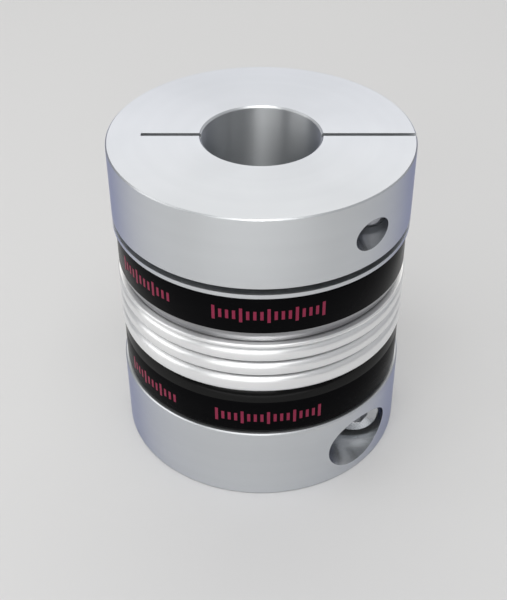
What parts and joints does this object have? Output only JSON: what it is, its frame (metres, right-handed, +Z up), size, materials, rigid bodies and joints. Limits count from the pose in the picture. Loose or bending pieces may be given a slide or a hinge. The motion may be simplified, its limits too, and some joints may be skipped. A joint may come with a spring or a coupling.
{
  "type": "bellows coupling",
  "caption": "Slit clamp hubs on two shafts, joined by a stainless bellows held in black clamp rings; stiff in torsion, it gives along the axis.",
  "frame": {"origin": "middle of the bottom face, on the shaft axis", "axes": "+Z up the shaft axis, +X along the open side of the clamp slits, -Y the side where the lower clamp screw goes in"},
  "size_m": [0.049, 0.049, 0.056],
  "materials": {
    "hub_aluminium": "fine satin, turned",
    "ring_black": "black anodised, glossy, with plain crimson print",
    "bellows_steel": "bright stainless steel",
    "screw_steel": "bright zinc plated"
  },
  "bodies": {
    "lower_half": {"lower_hub": "hub_aluminium", "lower_ring": "ring_black", "lower_clamp_screw": "screw_steel", "bellows": "bellows_steel"},
    "upper_half": {"upper_hub": "hub_aluminium", "upper_ring": "ring_black", "upper_clamp_screw": "screw_steel"}
  },
  "joints": [
    {"name": "axial_flex", "type": "slide", "parent": "lower_half", "child": "upper_half", "axis": [0, 0, 1], "range_m": [-0.0005, 0.0005], "stiffness_N_per_m": 20000, "deforming": ["bellows"]}
  ]
}
